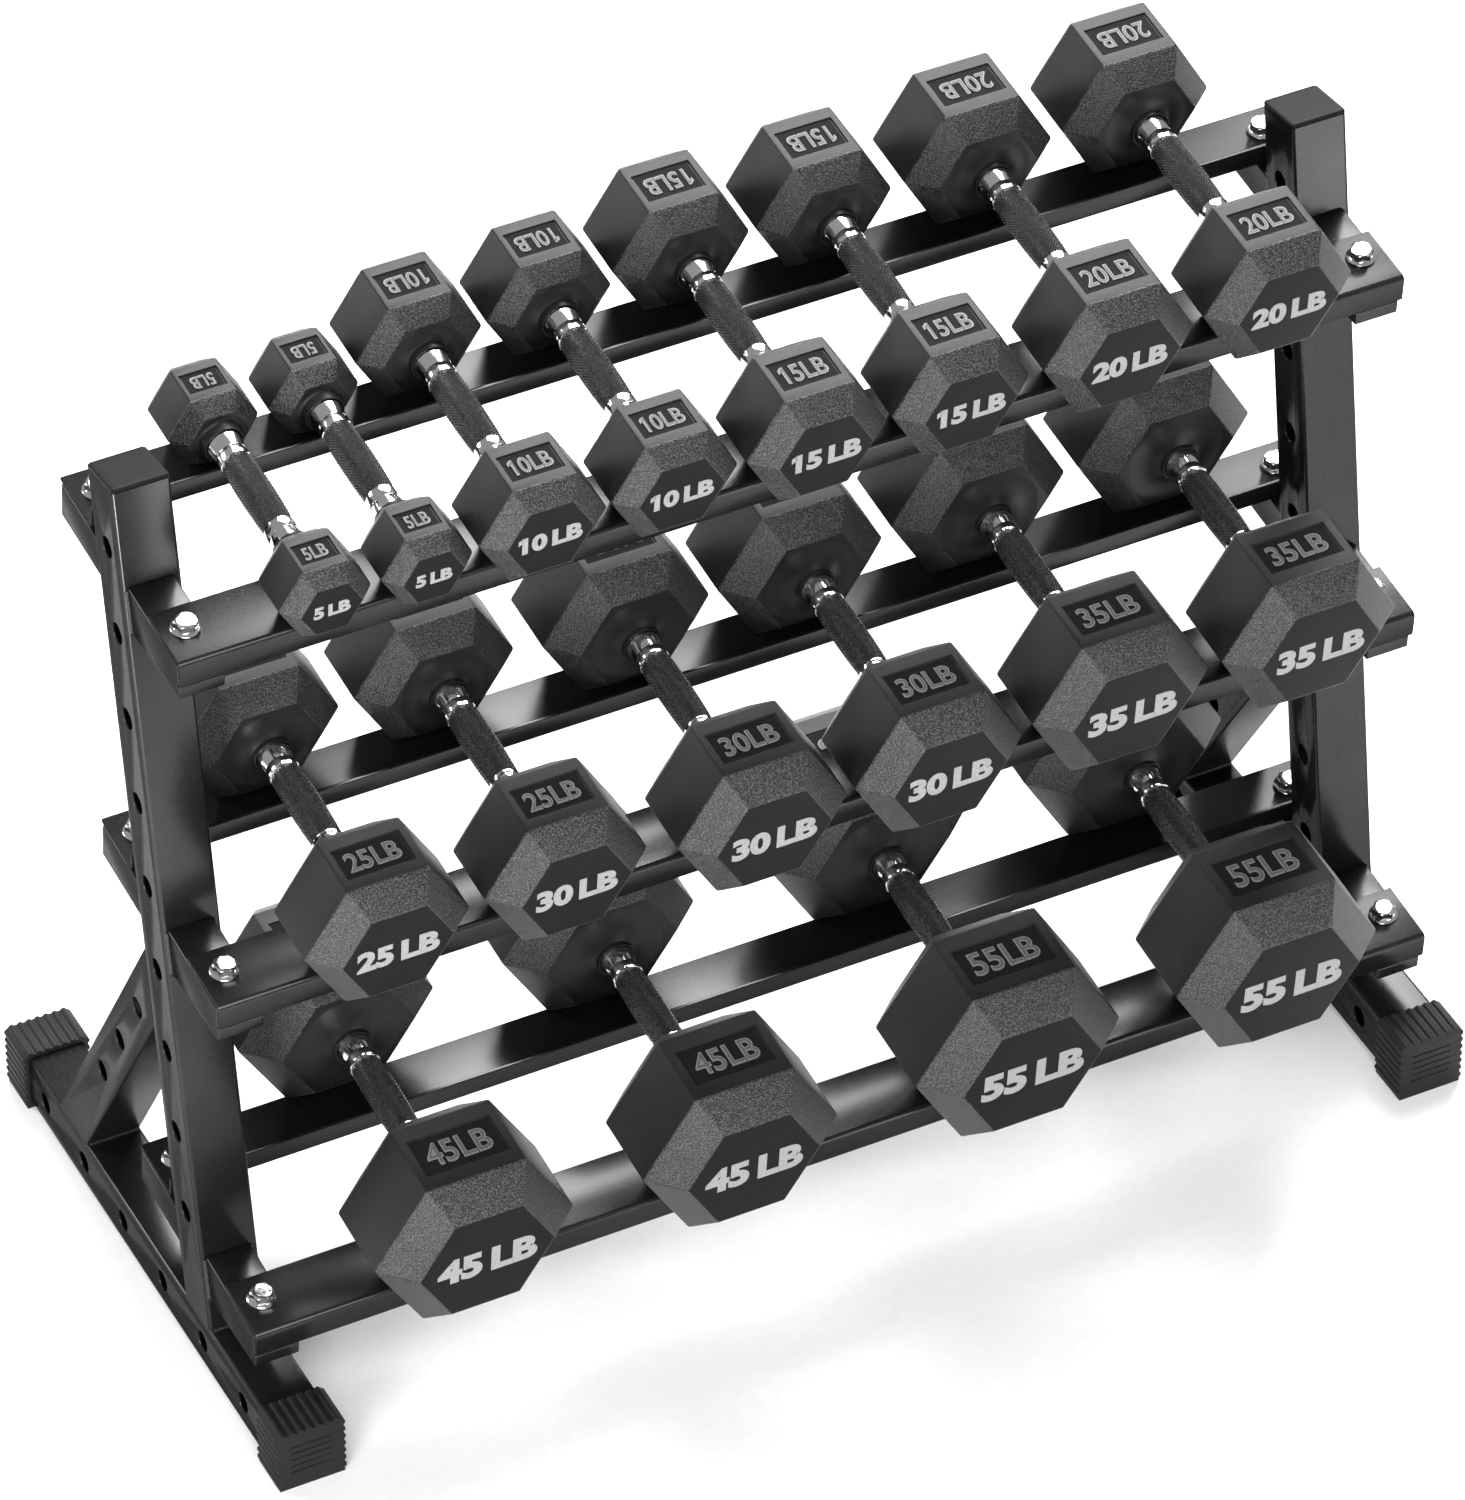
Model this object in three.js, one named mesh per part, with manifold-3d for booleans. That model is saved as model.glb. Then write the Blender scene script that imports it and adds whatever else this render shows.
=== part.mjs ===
// Three-tier dumbbell rack with its set of rubber hex dumbbells.
// Millimetres, +X to the right, +Y to the rear, +Z up. The rack stands on z = 0 and
// the origin is at the middle of its footprint box.

import * as THREE from "three";
import { mergeVertices } from "three/addons/utils/BufferGeometryUtils.js";
import Module from "manifold-3d";

const wasm = await Module();
wasm.setup();

// ---- Driving dimensions ------------------------------------------------------

const GAP = 0.3; // clearance between pieces that touch
const SHEET = 3; // rail sheet
const WALL = 2; // tube wall
const TUBE = 45; // square tube, outside
const TUBE_CORNER = 2.8; // outer corner radius of the tube
const HOLE_RADIUS = 8.5; // round holes through the tubes
const HOLE_SIDES = 8;
const TURNED_SIDES = 10; // bolts and handles

const FRAME_SPAN = 943; // left side frame to right side frame, centre to centre
const MID_Y = -196.6; // middle of the footprint, in side-frame coordinates
const CAP_BELOW = 4.75; // how far the foot caps stand below the base tubes
const FOOT_CAP_LENGTH = 37;
const FOOT_CAP_WALL = 4.6; // closed end of the cap

const LEAN = THREE.MathUtils.degToRad(8.274); // uprights lean back
const SHELF_TILT = THREE.MathUtils.degToRad(5.542); // shelves are higher at the rear
const UPRIGHT_FRONT_Y = -305.8; // front face of the upright where it meets the base tube
const UPRIGHT_LENGTH = 732.4; // along its axis, base tube to top, with the cap
const UPRIGHT_HOLE_PITCH = 72.2;
const UPRIGHT_HOLES = 9;
const UPRIGHT_TOP_HOLE = 54.8; // top hole below the top of the upright

const BASE_FRONT = -430;
const BASE_REAR = 60.5;
const BASE_HOLE_PITCH = 72.6;
const BASE_HOLES = 6;
const BASE_REAR_HOLE = 0.4;

const STRUT_TOP_HOLE = [-199.1, 284.9]; // y, z
const STRUT_SLOPE = THREE.MathUtils.degToRad(31.3); // from vertical, top towards the front
const STRUT_HOLE_PITCH = 72.8;
const STRUT_HOLES = 4;

const TIER_HEIGHT = { bottom: 116, middle: 404.6, top: 693.4 }; // on the upright's front face
const RAIL_START = -18.7; // from the left frame's centre
const RAIL_END = FRAME_SPAN + 19.5;
const RAIL_BEND = 4;
const FRONT_RAIL = { front: -89.7, rear: -34.7, lip: -22 };
const REAR_RAIL = { front: 62.5, rear: 117, lip: 16 };
const BOLT_INSET = 23; // bolts ahead of each flange's rear edge
const BOLT_HOLE_RADIUS = 5.8;
const BOLT = {
  shank: 5, // radius
  shankLength: 22,
  flange: 11, // radius
  flangeEdge: 1.2,
  shoulder: 8, // radius
  shoulderHeight: 3,
  hexagonBottom: 9.24, // corner radius
  hexagonTop: 8.4,
  hexagonFrom: 2,
  height: 9,
};

const ARM_WIDTH = 35.5;
const ARM_SHIFT = -1.5; // arm centre from frame centre
const ARM_DEPTH_FRONT = -33.7;
const ARM_DEPTH_UPRIGHT = -41.5;
const REAR_ARM_DEPTH = -34;
const REAR_ARM_END = 114;

const HEAD_CHAMFER = 0.16; // of the size across flats

// One end of the handle: radius, and distance from the head's inner face to the middle.
const HANDLE_END = [
  [0, -5],
  [15.2, -5],
  [15.2, 1],
  [14.2, 8],
  [10.7, 17],
  [11.5, 21],
  [11.5, 29.25],
];
const GRIP_RADIUS = 12.9; // at the middle

// Weight class: size across flats, overall length, length of the full hexagon and
// length of the handle between the heads.
const DUMBBELL_SIZES = {
  "05": { flats: 61.5, overall: 248, hexagon: 35.5, handle: 130 },
  "10": { flats: 86.4, overall: 275, hexagon: 46.5, handle: 133 },
  "15": { flats: 95.8, overall: 299, hexagon: 51, handle: 133 },
  "20": { flats: 105.3, overall: 304, hexagon: 51.7, handle: 133 },
  "25": { flats: 112, overall: 311, hexagon: 53.5, handle: 130 },
  "30": { flats: 118.4, overall: 317, hexagon: 55, handle: 130 },
  "35": { flats: 126.4, overall: 321, hexagon: 57.5, handle: 130 },
  "45": { flats: 138.5, overall: 347, hexagon: 64, handle: 130 },
  "55": { flats: 148.3, overall: 358, hexagon: 66.3, handle: 130 },
};

// Each dumbbell: weight class, place along the shelf from the left frame's centre, and
// place of its middle across the shelf, behind the upright's front face.
const SHELVES = {
  top: [
    ["05", 88.1, 13.5],
    ["05", 166.6, 13.2],
    ["10", 252.1, 17.2],
    ["10", 356, 18.8],
    ["15", 464.9, 20.9],
    ["15", 580.3, 20.3],
    ["20", 704.6, 15.8],
    ["20", 836.4, 18.6],
  ],
  middle: [
    ["25", 98.6, 17],
    ["25", 240.5, 18.7],
    ["30", 391.4, 7.1],
    ["30", 535, 7.9],
    ["35", 685.5, 11.8],
    ["35", 842.7, 11.8],
  ],
  bottom: [
    ["45", 139.2, 26.9],
    ["45", 356.1, 26.7],
    ["55", 584.8, 27.3],
    ["55", 804.4, 27.4],
  ],
};

// ---- Materials ---------------------------------------------------------------

const material = (color, roughness, metalness) =>
  new THREE.MeshStandardMaterial({ color, roughness, metalness });
const powderCoat = () => material(0x1c1c1d, 0.45, 0.1);
const zinc = () => material(0xb4b6b8, 0.3, 1);
const capRubber = () => material(0x141414, 0.85, 0);
const capPlastic = () => material(0x18191a, 0.55, 0);
const hexRubber = () => material(0x202122, 0.8, 0);

// ---- Frames: each maps (a, b, c) to side-frame coordinates --------------------

const basis = (ex, ey, ez, origin) =>
  new THREE.Matrix4()
    .makeBasis(new THREE.Vector3(...ex), new THREE.Vector3(...ey), new THREE.Vector3(...ez))
    .setPosition(...origin);

// Along the upright: x, away from its front face, up its axis.
const uprightFrame = basis(
  [1, 0, 0],
  [0, Math.cos(LEAN), -Math.sin(LEAN)],
  [0, Math.sin(LEAN), Math.cos(LEAN)],
  [0, UPRIGHT_FRONT_Y, TUBE],
);

// Along the strut: x, towards its upper rear side, up its axis; origin at its top hole.
const strutFrame = basis(
  [1, 0, 0],
  [0, Math.cos(STRUT_SLOPE), Math.sin(STRUT_SLOPE)],
  [0, -Math.sin(STRUT_SLOPE), Math.cos(STRUT_SLOPE)],
  [0, ...STRUT_TOP_HOLE],
);

// Along the base tube: x, down, to the rear.
const baseFrame = basis([1, 0, 0], [0, 0, -1], [0, 1, 0], [0, 0, TUBE / 2]);

// Section of a shelf: u to the rear, h up from the rail flanges, then along x.
const frontFaceY = (z) => UPRIGHT_FRONT_Y + Math.tan(LEAN) * (z - TUBE);
const tierOrigin = (tier) => [0, frontFaceY(TIER_HEIGHT[tier]), TIER_HEIGHT[tier]];
const sectionFrame = (tier) =>
  basis(
    [0, Math.cos(SHELF_TILT), Math.sin(SHELF_TILT)],
    [0, -Math.sin(SHELF_TILT), Math.cos(SHELF_TILT)],
    [1, 0, 0],
    tierOrigin(tier),
  );

// Plan of a shelf: x, then u to the rear, then h up.
const shelfFrame = (tier) =>
  basis(
    [1, 0, 0],
    [0, Math.cos(SHELF_TILT), Math.sin(SHELF_TILT)],
    [0, -Math.sin(SHELF_TILT), Math.cos(SHELF_TILT)],
    tierOrigin(tier),
  );

// ---- Solids ------------------------------------------------------------------

function solidOf(geometry) {
  const bare = new THREE.BufferGeometry();
  bare.setAttribute("position", geometry.getAttribute("position").clone());
  if (geometry.index) bare.setIndex(geometry.index.clone());
  const merged = mergeVertices(bare, 1e-4);
  const mesh = new wasm.Mesh({
    numProp: 3,
    vertProperties: new Float32Array(merged.getAttribute("position").array),
    triVerts: new Uint32Array(merged.index.array),
  });
  return new wasm.Manifold(mesh);
}

function geometryOf(solid) {
  const mesh = solid.getMesh();
  const indexed = new THREE.BufferGeometry();
  indexed.setAttribute("position", new THREE.BufferAttribute(new Float32Array(mesh.vertProperties), 3));
  indexed.setIndex(new THREE.BufferAttribute(new Uint32Array(mesh.triVerts), 1));
  const flat = indexed.toNonIndexed();
  flat.computeVertexNormals();
  return flat;
}

const placed = (geometry, frame) => geometry.clone().applyMatrix4(frame);

function boxBetween([x0, y0, z0], [x1, y1, z1]) {
  const box = new THREE.BoxGeometry(x1 - x0, y1 - y0, z1 - z0);
  return box.translate((x0 + x1) / 2, (y0 + y1) / 2, (z0 + z1) / 2);
}

function roundedSquare(half, radius) {
  const shape = new THREE.Shape();
  shape.moveTo(half, half - radius);
  shape.absarc(half - radius, half - radius, radius, 0, Math.PI / 2);
  shape.absarc(radius - half, half - radius, radius, Math.PI / 2, Math.PI);
  shape.absarc(radius - half, radius - half, radius, Math.PI, Math.PI * 1.5);
  shape.absarc(half - radius, radius - half, radius, Math.PI * 1.5, Math.PI * 2);
  shape.closePath();
  return shape;
}

function extruded(shape, length, curveSegments = 2) {
  return new THREE.ExtrudeGeometry(shape, { depth: length, bevelEnabled: false, curveSegments });
}

// Turned about the second axis from (radius, along) points.
function turnedProfile(points) {
  return new THREE.LatheGeometry(points.map(([r, y]) => new THREE.Vector2(r, y)), TURNED_SIDES);
}

function outlineShape(points) {
  return new THREE.Shape(points.map(([a, b]) => new THREE.Vector2(a, b)));
}

// Open-ended square tube along the third axis, centred on the first two.
function squareTube(length) {
  const shape = roundedSquare(TUBE / 2, TUBE_CORNER);
  shape.holes.push(roundedSquare(TUBE / 2 - WALL, TUBE_CORNER - WALL));
  return extruded(shape, length);
}

// A drill of the given radius along the first axis, right through a tube.
function crossDrill(b, c) {
  const drill = new THREE.CylinderGeometry(HOLE_RADIUS, HOLE_RADIUS, TUBE + 10, HOLE_SIDES);
  return drill.rotateZ(Math.PI / 2).translate(0, b, c);
}

// A drill for a bolt along the third axis, centred on the origin.
function boltDrill(length) {
  const drill = new THREE.CylinderGeometry(BOLT_HOLE_RADIUS, BOLT_HOLE_RADIUS, length, HOLE_SIDES);
  return drill.rotateX(Math.PI / 2);
}

// ---- Side frames -------------------------------------------------------------

const FAR = 1000; // beyond any face that a cut has to clear
const solidBox = (low, high) => solidOf(boxBetween(low, high));
const aboveBase = solidBox([-TUBE, -FAR, TUBE + GAP], [TUBE, FAR, FAR]);

function baseTube() {
  let tube = solidOf(squareTube(BASE_REAR - BASE_FRONT).translate(0, 0, BASE_FRONT));
  for (let i = 0; i < BASE_HOLES; i += 1) {
    tube = tube.subtract(solidOf(crossDrill(0, BASE_REAR_HOLE - i * BASE_HOLE_PITCH)));
  }
  return placed(geometryOf(tube), baseFrame);
}

function upright() {
  const below = TUBE;
  const length = UPRIGHT_LENGTH - SHEET - GAP + below;
  let tube = solidOf(squareTube(length).translate(0, TUBE / 2, -below));
  for (let i = 0; i < UPRIGHT_HOLES; i += 1) {
    const along = UPRIGHT_LENGTH - UPRIGHT_TOP_HOLE - i * UPRIGHT_HOLE_PITCH;
    tube = tube.subtract(solidOf(crossDrill(TUBE / 2, along)));
  }
  const standing = solidOf(placed(geometryOf(tube), uprightFrame)).intersect(aboveBase);
  return geometryOf(standing);
}

function rearStrut() {
  const above = 2 * TUBE;
  const below = 300;
  let tube = solidOf(squareTube(above + below).translate(0, 0, -below));
  for (let i = 0; i < STRUT_HOLES; i += 1) {
    tube = tube.subtract(solidOf(crossDrill(0, -i * STRUT_HOLE_PITCH)));
  }
  const behindUpright = solidOf(
    placed(boxBetween([-TUBE, TUBE + GAP, -FAR], [TUBE, FAR, FAR]), uprightFrame),
  );
  const standing = solidOf(placed(geometryOf(tube), strutFrame)).intersect(aboveBase);
  return geometryOf(standing.intersect(behindUpright));
}

// ---- Caps --------------------------------------------------------------------

// Outline of the foot cap, x across and height upwards: flat below, ribbed elsewhere.
function footCapOutline() {
  const half = 26.2;
  const rib = { height: 1.5, crest: 3, foot: 4.6, pitch: 7.2, count: 7 };
  const bottom = -TUBE / 2 - CAP_BELOW;
  const top = TUBE / 2 + 3.8;
  const middle = (bottom + top) / 2 + 1;
  const ribProfile = [
    [-rib.foot / 2, 0],
    [-rib.crest / 2, rib.height],
    [rib.crest / 2, rib.height],
    [rib.foot / 2, 0],
  ];
  const offsets = Array.from({ length: rib.count }, (_, i) => (i - (rib.count - 1) / 2) * rib.pitch);
  const points = [[-half, bottom], [half, bottom]];
  for (const offset of offsets) {
    for (const [along, out] of ribProfile) points.push([half + out, middle + offset + along]);
  }
  for (const offset of offsets) {
    for (const [along, out] of ribProfile) points.push([-offset - along, top + out]);
  }
  for (const offset of offsets) {
    for (const [along, out] of ribProfile) points.push([-half - out, middle - offset - along]);
  }
  return outlineShape(points);
}

// Cap along +Z of its own frame: open at 0, closed at its length.
function footCap() {
  const sleeve = solidOf(extruded(footCapOutline(), FOOT_CAP_LENGTH));
  const pocket = TUBE / 2 + GAP;
  const depth = FOOT_CAP_LENGTH - FOOT_CAP_WALL;
  const socket = solidBox([-pocket, -pocket, -1], [pocket, pocket, depth]);
  return geometryOf(sleeve.subtract(socket));
}

// Each cap's outer face lies its closed wall and the gap beyond the end of its tube.
const frontCapFrame = basis(
  [1, 0, 0],
  [0, 0, 1],
  [0, -1, 0],
  [0, BASE_FRONT - FOOT_CAP_WALL - GAP + FOOT_CAP_LENGTH, TUBE / 2],
);
const rearCapFrame = basis(
  [-1, 0, 0],
  [0, 0, 1],
  [0, 1, 0],
  [0, BASE_REAR + FOOT_CAP_WALL + GAP - FOOT_CAP_LENGTH, TUBE / 2],
);

function topCap() {
  const plugDepth = 16;
  const plugHalf = TUBE / 2 - WALL - GAP;
  const flange = extruded(roundedSquare(TUBE / 2, TUBE_CORNER), SHEET);
  const plug = extruded(roundedSquare(plugHalf, TUBE_CORNER - WALL), plugDepth + 1);
  const cap = solidOf(flange).add(solidOf(plug.translate(0, 0, -plugDepth)));
  return placed(geometryOf(cap).translate(0, TUBE / 2, UPRIGHT_LENGTH - SHEET), uprightFrame);
}

// ---- Shelves -----------------------------------------------------------------

// Angle section with a rounded bend: flange on h = 0, lip up or down at its front edge.
function railOutline({ front, rear, lip }) {
  const side = Math.sign(lip);
  const outer = side > 0 ? -SHEET : 0; // face on the outside of the bend
  const inner = side > 0 ? 0 : -SHEET;
  const bend = [];
  const steps = 3;
  for (let i = 0; i <= steps; i += 1) {
    const angle = (i / steps) * (Math.PI / 2);
    const dx = 1 - Math.cos(angle);
    const dz = 1 - Math.sin(angle);
    bend.push([front + RAIL_BEND * dx, outer + side * RAIL_BEND * dz]);
  }
  return outlineShape([
    [front, lip],
    ...bend,
    [rear, outer],
    [rear, inner],
    [front + SHEET, inner],
    [front + SHEET, lip],
  ]);
}

function rail(tier, section) {
  const bar = extruded(railOutline(section), RAIL_END - RAIL_START);
  let solid = solidOf(placed(bar, sectionFrame(tier)));
  for (const x of [0, FRAME_SPAN]) {
    const drill = boltDrill(6 * SHEET).translate(x - RAIL_START, section.rear - BOLT_INSET, 0);
    solid = solid.subtract(solidOf(placed(drill, shelfFrame(tier))));
  }
  return geometryOf(solid);
}

// Where the upright's two faces cross a shelf's section, u at height h.
const frontFaceU = (h) => Math.tan(LEAN + SHELF_TILT) * h;
const rearFaceU = (h) => frontFaceU(h) + TUBE / Math.cos(LEAN + SHELF_TILT);

function frontArmOutline() {
  const top = -SHEET - GAP;
  const lipRear = FRONT_RAIL.front + SHEET + GAP;
  const lipBottom = FRONT_RAIL.lip - GAP;
  return [
    [lipRear, top],
    [lipRear, lipBottom],
    [FRONT_RAIL.front, lipBottom],
    [FRONT_RAIL.front, ARM_DEPTH_FRONT],
    [frontFaceU(ARM_DEPTH_UPRIGHT) - GAP, ARM_DEPTH_UPRIGHT],
    [frontFaceU(top) - GAP, top],
  ];
}

// The arm's hollow, open at the upright.
function frontArmHollow() {
  const top = -SHEET - GAP - WALL;
  const front = FRONT_RAIL.front + SHEET + GAP + WALL;
  return [
    [front, top],
    [front, ARM_DEPTH_FRONT + WALL],
    [10, ARM_DEPTH_UPRIGHT + WALL],
    [10, top],
  ];
}

function rearArmOutline() {
  const top = -SHEET - GAP;
  return [
    [rearFaceU(REAR_ARM_DEPTH) + GAP, REAR_ARM_DEPTH],
    [REAR_ARM_END, REAR_ARM_DEPTH],
    [REAR_ARM_END, top],
    [rearFaceU(top) + GAP, top],
  ];
}

function rearArmHollow() {
  const top = -SHEET - GAP - WALL;
  return [
    [10, REAR_ARM_DEPTH + WALL],
    [REAR_ARM_END - WALL, REAR_ARM_DEPTH + WALL],
    [REAR_ARM_END - WALL, top],
    [10, top],
  ];
}

function arm(tier, outline, hollow, boltU) {
  const start = ARM_SHIFT - ARM_WIDTH / 2;
  const outside = extruded(outlineShape(outline), ARM_WIDTH).translate(0, 0, start);
  const inner = extruded(outlineShape(hollow), ARM_WIDTH - 2 * WALL);
  const inside = inner.translate(0, 0, start + WALL);
  const body = solidOf(placed(outside, sectionFrame(tier))).subtract(
    solidOf(placed(inside, sectionFrame(tier))),
  );
  const drill = boltDrill(4 * SHEET).translate(0, boltU, -SHEET);
  return geometryOf(body.subtract(solidOf(placed(drill, shelfFrame(tier)))));
}

// Flange bolt, head upwards, its washer face on z = 0.
function flangeBolt() {
  const profile = [
    [0, -BOLT.shankLength],
    [BOLT.shank, -BOLT.shankLength],
    [BOLT.shank, 0],
    [BOLT.flange, 0],
    [BOLT.flange, BOLT.flangeEdge],
    [BOLT.shoulder, BOLT.shoulderHeight],
    [0, BOLT.shoulderHeight],
  ];
  const turned = turnedProfile(profile);
  const depth = BOLT.height - BOLT.hexagonFrom;
  const hexagon = new THREE.CylinderGeometry(BOLT.hexagonTop, BOLT.hexagonBottom, depth, 6);
  hexagon.translate(0, (BOLT.height + BOLT.hexagonFrom) / 2, 0);
  const bolt = solidOf(turned).add(solidOf(hexagon));
  return geometryOf(bolt).rotateX(Math.PI / 2);
}

// ---- Dumbbells ---------------------------------------------------------------

// Hexagon standing on a flat, bottom flat on h = 0, scaled about its middle.
function hexagonRing(flats, scale, along) {
  const corner = (flats / Math.sqrt(3)) * scale;
  return Array.from({ length: 6 }, (_, i) => {
    const angle = (i * Math.PI) / 3;
    return [corner * Math.cos(angle), along, flats / 2 + corner * Math.sin(angle)];
  });
}

// Closed loft through rings of six points, from low to high along the second axis.
function hexagonLoft(rings) {
  const positions = rings.flat(2);
  const triangles = [];
  const at = (ring, i) => ring * 6 + (i % 6);
  for (let ring = 0; ring + 1 < rings.length; ring += 1) {
    for (let i = 0; i < 6; i += 1) {
      triangles.push(at(ring, i), at(ring + 1, i), at(ring + 1, i + 1));
      triangles.push(at(ring, i), at(ring + 1, i + 1), at(ring, i + 1));
    }
  }
  const last = rings.length - 1;
  for (let i = 1; i < 5; i += 1) {
    triangles.push(at(0, 0), at(0, i), at(0, i + 1));
    triangles.push(at(last, 0), at(last, i + 1), at(last, i));
  }
  const geometry = new THREE.BufferGeometry();
  geometry.setAttribute("position", new THREE.Float32BufferAttribute(positions, 3));
  geometry.setIndex(triangles);
  return geometry;
}

function dumbbellHead({ flats, overall, hexagon, handle }) {
  const inner = handle / 2;
  const chamfer = (overall / 2 - inner - hexagon) / 2;
  const narrow = 1 - 2 * HEAD_CHAMFER;
  return hexagonLoft([
    hexagonRing(flats, narrow, inner),
    hexagonRing(flats, 1, inner + chamfer),
    hexagonRing(flats, 1, inner + chamfer + hexagon),
    hexagonRing(flats, narrow, overall / 2),
  ]);
}

// Turned handle: crowned grip, then a plain collar, a neck and a bell into each head.
function dumbbellHandle(length) {
  const front = HANDLE_END.map(([r, inset]) => [r, inset - length / 2]);
  const rear = front.map(([r, along]) => [r, -along]).reverse();
  return turnedProfile([...front, [GRIP_RADIUS, 0], ...rear]);
}

// Middle of the dumbbell over the origin, lying along the second axis, resting on zero.
function dumbbell(size) {
  const rear = dumbbellHead(size);
  const front = dumbbellHead(size).rotateZ(Math.PI);
  const handle = dumbbellHandle(size.handle).translate(0, 0, size.flats / 2);
  const solid = solidOf(handle).add(solidOf(rear)).add(solidOf(front));
  return geometryOf(solid);
}

// ---- Assembly ----------------------------------------------------------------

// Side-frame coordinates inside, with the origin moved to the middle of the footprint.
const rack = new THREE.Group();
const sideFrames = new THREE.Group();
sideFrames.position.set(-FRAME_SPAN / 2, -MID_Y, CAP_BELOW);
rack.add(sideFrames);

function addPart(name, geometry, material, x = 0) {
  const mesh = new THREE.Mesh(geometry, material);
  mesh.name = name;
  mesh.position.x = x;
  sideFrames.add(mesh);
}

const sides = { left: 0, right: FRAME_SPAN };
const frontBoltU = FRONT_RAIL.rear - BOLT_INSET;
const rearBoltU = REAR_RAIL.rear - BOLT_INSET;

for (const [side, x] of Object.entries(sides)) {
  addPart(`base_tube_${side}`, baseTube(), powderCoat(), x);
  addPart(`upright_${side}`, upright(), powderCoat(), x);
  addPart(`rear_strut_${side}`, rearStrut(), powderCoat(), x);
  addPart(`top_cap_${side}`, topCap(), capPlastic(), x);
  addPart(`foot_cap_front_${side}`, placed(footCap(), frontCapFrame), capRubber(), x);
  addPart(`foot_cap_rear_${side}`, placed(footCap(), rearCapFrame), capRubber(), x);
}

for (const tier of Object.keys(SHELVES)) {
  addPart(`rail_front_${tier}`, rail(tier, FRONT_RAIL), powderCoat(), RAIL_START);
  addPart(`rail_rear_${tier}`, rail(tier, REAR_RAIL), powderCoat(), RAIL_START);
  for (const [side, x] of Object.entries(sides)) {
    const frontArm = arm(tier, frontArmOutline(), frontArmHollow(), frontBoltU);
    const rearArm = arm(tier, rearArmOutline(), rearArmHollow(), rearBoltU);
    addPart(`arm_front_${tier}_${side}`, frontArm, powderCoat(), x);
    addPart(`arm_rear_${tier}_${side}`, rearArm, powderCoat(), x);
    const frontBolt = placed(flangeBolt().translate(0, frontBoltU, GAP), shelfFrame(tier));
    const rearBolt = placed(flangeBolt().translate(0, rearBoltU, GAP), shelfFrame(tier));
    addPart(`bolt_front_${tier}_${side}`, frontBolt, zinc(), x);
    addPart(`bolt_rear_${tier}_${side}`, rearBolt, zinc(), x);
  }
}

for (const [tier, row] of Object.entries(SHELVES)) {
  const placedOfSize = {};
  for (const [weight, x, u] of row) {
    const copy = placedOfSize[weight] ? "b" : "a";
    placedOfSize[weight] = true;
    const solid = dumbbell(DUMBBELL_SIZES[weight]).translate(0, u, GAP);
    addPart(`dumbbell_${weight}_${copy}`, placed(solid, shelfFrame(tier)), hexRubber(), x);
  }
}

export default rack;
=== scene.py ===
# Looks for the three-tier dumbbell rack: every piece is built here in mesh code around the
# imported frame, in metres, and rides on the frame's bodies.

import math

import bmesh
import bpy
from mathutils import Matrix, Vector


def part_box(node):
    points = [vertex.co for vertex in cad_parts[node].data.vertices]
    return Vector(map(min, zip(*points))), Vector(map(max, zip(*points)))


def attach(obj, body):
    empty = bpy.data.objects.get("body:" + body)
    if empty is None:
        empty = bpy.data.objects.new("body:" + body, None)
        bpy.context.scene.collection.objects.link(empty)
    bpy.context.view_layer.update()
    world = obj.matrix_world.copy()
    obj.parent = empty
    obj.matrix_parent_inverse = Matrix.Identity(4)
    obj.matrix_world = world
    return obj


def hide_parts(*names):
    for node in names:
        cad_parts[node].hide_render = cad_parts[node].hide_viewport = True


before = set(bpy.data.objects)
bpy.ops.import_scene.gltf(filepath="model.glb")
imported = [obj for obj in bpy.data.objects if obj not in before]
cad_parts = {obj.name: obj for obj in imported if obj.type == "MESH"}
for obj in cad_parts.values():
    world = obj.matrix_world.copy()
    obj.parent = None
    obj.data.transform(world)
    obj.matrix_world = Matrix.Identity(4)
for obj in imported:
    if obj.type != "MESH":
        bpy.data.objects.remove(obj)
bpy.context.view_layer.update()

# ---- Dimensions, in metres -----------------------------------------------------

GAP = 0.0003
SHEET = 0.003
WALL = 0.002
TUBE = 0.045
TUBE_CORNER = 0.0028
HOLE_RADIUS = 0.0085

LEAN = math.radians(8.274)  # uprights lean back
TILT = math.radians(5.542)  # shelves are higher at the rear
STRUT_SLOPE = math.radians(31.3)  # from vertical

UPRIGHT_HOLES = (0.0547, 0.0722, 9)  # first below the tube's top, pitch, count
BASE_HOLES = (0.0601, 0.0726, 6)  # first ahead of the tube's rear end, pitch, count
STRUT_HOLES = (0.0, 0.0728, 4)  # first below the tube's top end, pitch, count

RAIL_BEND = 0.004
ARM_FRONT_DEPTH = 0.0304
BOLT_HEAD_HEIGHT = 0.009

FOOT_HALF = 0.0262  # half width of a foot cap, without its ribs
FOOT_FLOOR = 0.00475  # rubber under the tube
FOOT_POCKET = 0.0324  # how far the tube reaches into the cap
FOOT_RIBS = (0.0015, 0.0072, 7)  # height, pitch, count
FOOT_GROOVES = (0.0125, 0.0062, 5)  # first below the top, pitch, count
# Half a wave on each side of a rib's middle: distance along, share of the height.
RIB_WAVE = (
    (-0.0024, 0), (-0.0020, 0.35), (-0.0015, 0.8), (-0.0008, 1.0),
    (0.0008, 1.0), (0.0015, 0.8), (0.0020, 0.35), (0.0024, 0),
)

HEAD_FACE = 0.68  # the end face's share of the full hexagon
HEAD_ROUND = 0.0011  # rounding of a head's edges
PANEL_WIDTH = 0.84  # of the head's flat
PANEL_LENGTH = 0.58
PANEL_DEPTH = 0.0016
END_MARKS = {"dumbbell_25_b": "30"}  # end faces that are marked apart from their panels

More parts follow.
